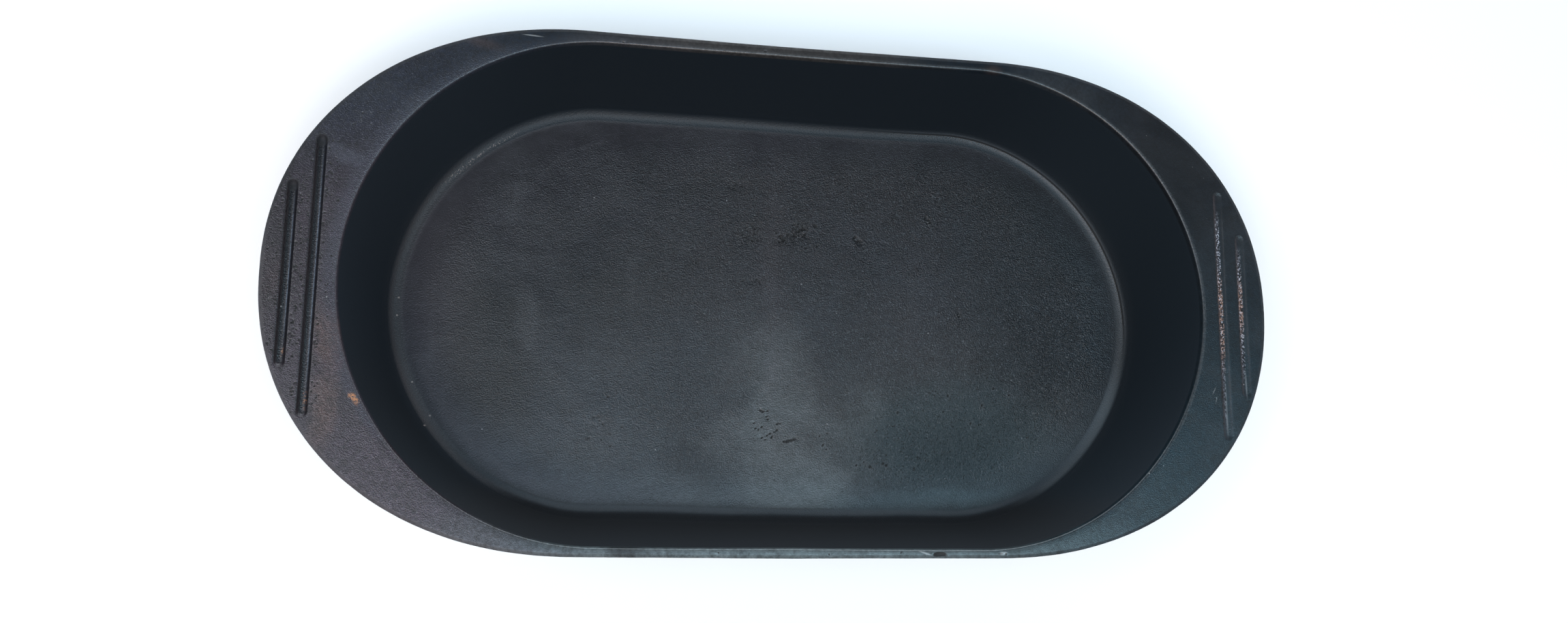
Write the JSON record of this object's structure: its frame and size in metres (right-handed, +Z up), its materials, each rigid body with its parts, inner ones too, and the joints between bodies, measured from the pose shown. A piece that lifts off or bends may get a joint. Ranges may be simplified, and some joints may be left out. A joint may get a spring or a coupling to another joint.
{
  "type": "oval baking pan",
  "caption": "Deep oval cast-iron baking pan with drafted walls, a flat floor and crescent end flanges with finger grooves.",
  "frame": {"origin": "on the table, under the middle of the flat underside", "axes": "+X along the pan towards one end flange, +Y across it, +Z up out of the cavity"},
  "size_m": [0.4, 0.204, 0.057],
  "materials": {
    "seasoned_iron": "black seasoned, satin, fine cast texture"
  },
  "bodies": {
    "root": {"pan_casting": "seasoned_iron"}
  },
  "joints": []
}
